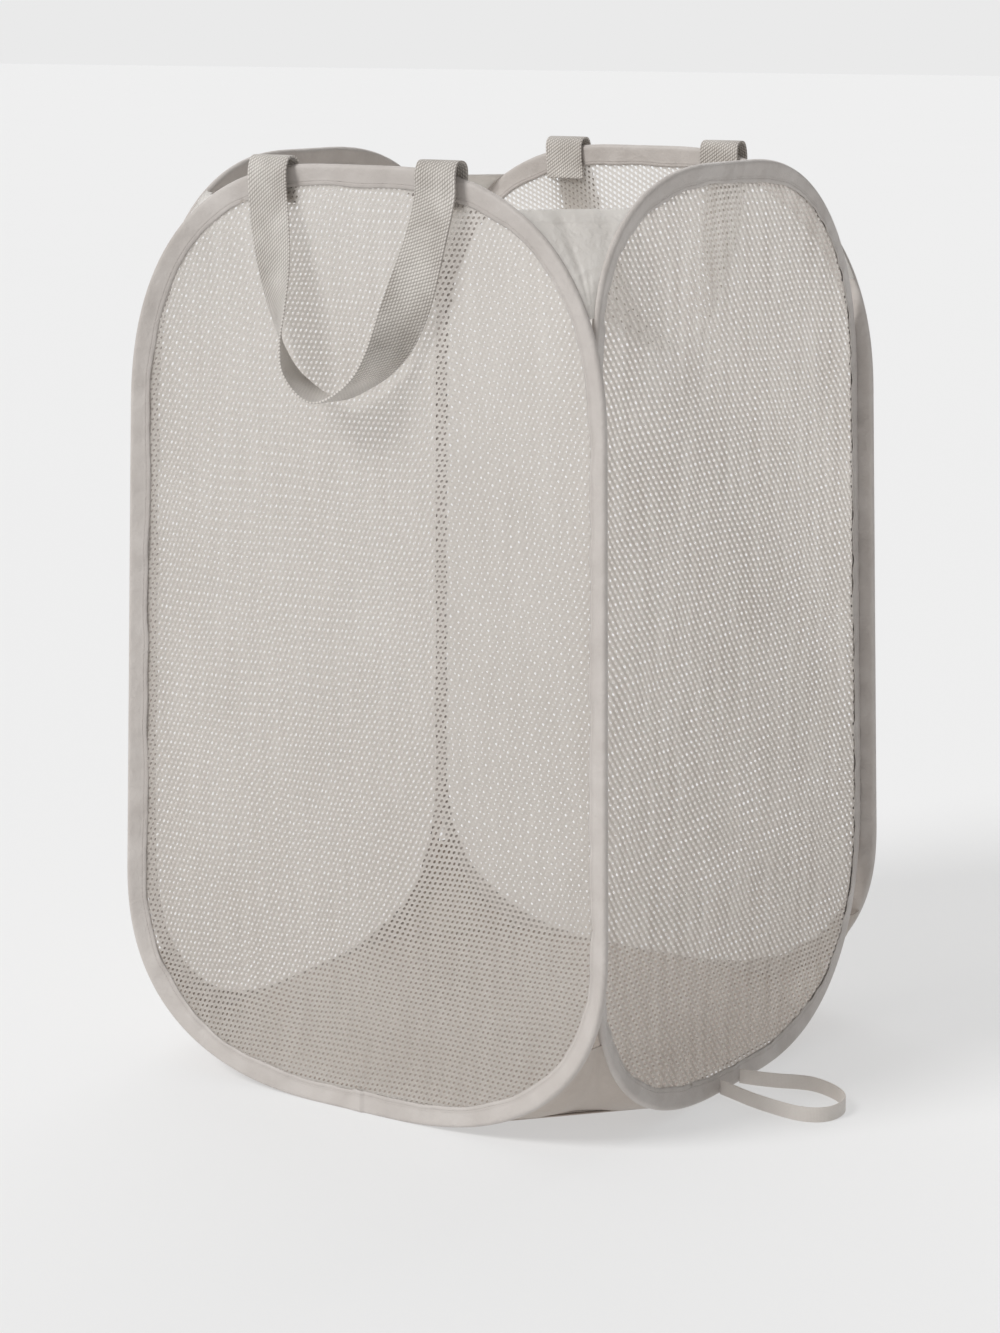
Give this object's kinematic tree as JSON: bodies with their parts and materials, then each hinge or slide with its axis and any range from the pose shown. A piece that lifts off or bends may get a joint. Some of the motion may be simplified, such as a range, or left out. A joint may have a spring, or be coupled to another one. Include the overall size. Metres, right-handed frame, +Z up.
{
  "type": "laundry hamper",
  "caption": "Collapsible pop up laundry hamper: square mesh basket on sprung hoops in fabric binding, with corner gussets, webbing carry handles and a closure loop.",
  "frame": {"origin": "on the floor, under the middle of the base", "axes": "+Z up; +X towards the panel that carries the closure loop; -Y towards the front panel"},
  "size_m": [0.4601, 0.4176, 0.6139],
  "materials": {
    "mesh": "matte knitted mesh",
    "binding": "satin woven tape",
    "gusset": "satin taffeta",
    "base": "satin taffeta",
    "webbing": "ribbed webbing",
    "loop_tape": "satin woven tape",
    "spring_steel": "bright drawn strip",
    "crimp": "plain"
  },
  "bodies": {
    "front_panel": {"front_mesh": "mesh", "front_binding": "binding", "front_hoop_wire": "spring_steel", "front_wire_sleeve": "crimp", "front_handle_end_left": "webbing", "front_handle_end_right": "webbing", "base_panel": "base", "top_gusset_front_right": "gusset", "bottom_gusset_front_right": "gusset", "top_gusset_front_left": "gusset", "bottom_gusset_front_left": "gusset"},
    "right_panel": {"right_mesh": "mesh", "right_binding": "binding", "right_hoop_wire": "spring_steel", "right_wire_sleeve": "crimp", "top_gusset_back_right": "gusset", "bottom_gusset_back_right": "gusset"},
    "back_panel": {"back_mesh": "mesh", "back_binding": "binding", "back_hoop_wire": "spring_steel", "back_wire_sleeve": "crimp", "back_handle_end_left": "webbing", "back_handle_end_right": "webbing"},
    "left_panel": {"left_mesh": "mesh", "left_binding": "binding", "left_hoop_wire": "spring_steel", "left_wire_sleeve": "crimp", "top_gusset_back_left": "gusset", "bottom_gusset_back_left": "gusset"},
    "front_handle": {"front_handle": "webbing"},
    "back_handle": {"back_handle": "webbing"},
    "closure_loop": {"closure_loop": "loop_tape"}
  },
  "joints": [
    {"name": "right_fold", "type": "hinge", "parent": "front_panel", "child": "right_panel", "pos_m": [0.1773, -0.1748, 0.305], "axis": [0.0203, -0.02, -0.9996], "range_deg": [0, 88], "stiffness_Nm_per_rad": 0.3, "springref_deg": -14.32, "deforming": ["top_gusset_front_right", "bottom_gusset_front_right", "top_gusset_front_left", "bottom_gusset_front_left", "top_gusset_back_right", "bottom_gusset_back_right", "top_gusset_back_left", "bottom_gusset_back_left", "base_panel"]},
    {"name": "left_fold", "type": "hinge", "parent": "front_panel", "child": "left_panel", "pos_m": [-0.1693, -0.1748, 0.305], "axis": [-0.0194, -0.02, -0.9996], "range_deg": [0, 88]},
    {"name": "back_fold", "type": "hinge", "parent": "right_panel", "child": "back_panel", "pos_m": [0.1693, 0.1748, 0.305], "axis": [-0.0194, -0.02, 0.9996], "range_deg": [0, 88]},
    {"name": "front_handle_swing", "type": "hinge", "parent": "front_panel", "child": "front_handle", "pos_m": [0, -0.1734, 0.61454], "axis": [-1, 0, 0], "range_deg": [0, 175]},
    {"name": "back_handle_swing", "type": "hinge", "parent": "back_panel", "child": "back_handle", "pos_m": [0, 0.1734, 0.61454], "axis": [1, 0, 0], "range_deg": [0, 175]},
    {"name": "loop_swing", "type": "hinge", "parent": "right_panel", "child": "closure_loop", "pos_m": [0.1838, -0.013, 0.01], "axis": [0, -1, 0], "range_deg": [0, 88]}
  ],
  "couplings": [
    {"joint": "left_fold", "follows": "right_fold", "ratio": 1},
    {"joint": "back_fold", "follows": "right_fold", "ratio": 1}
  ]
}
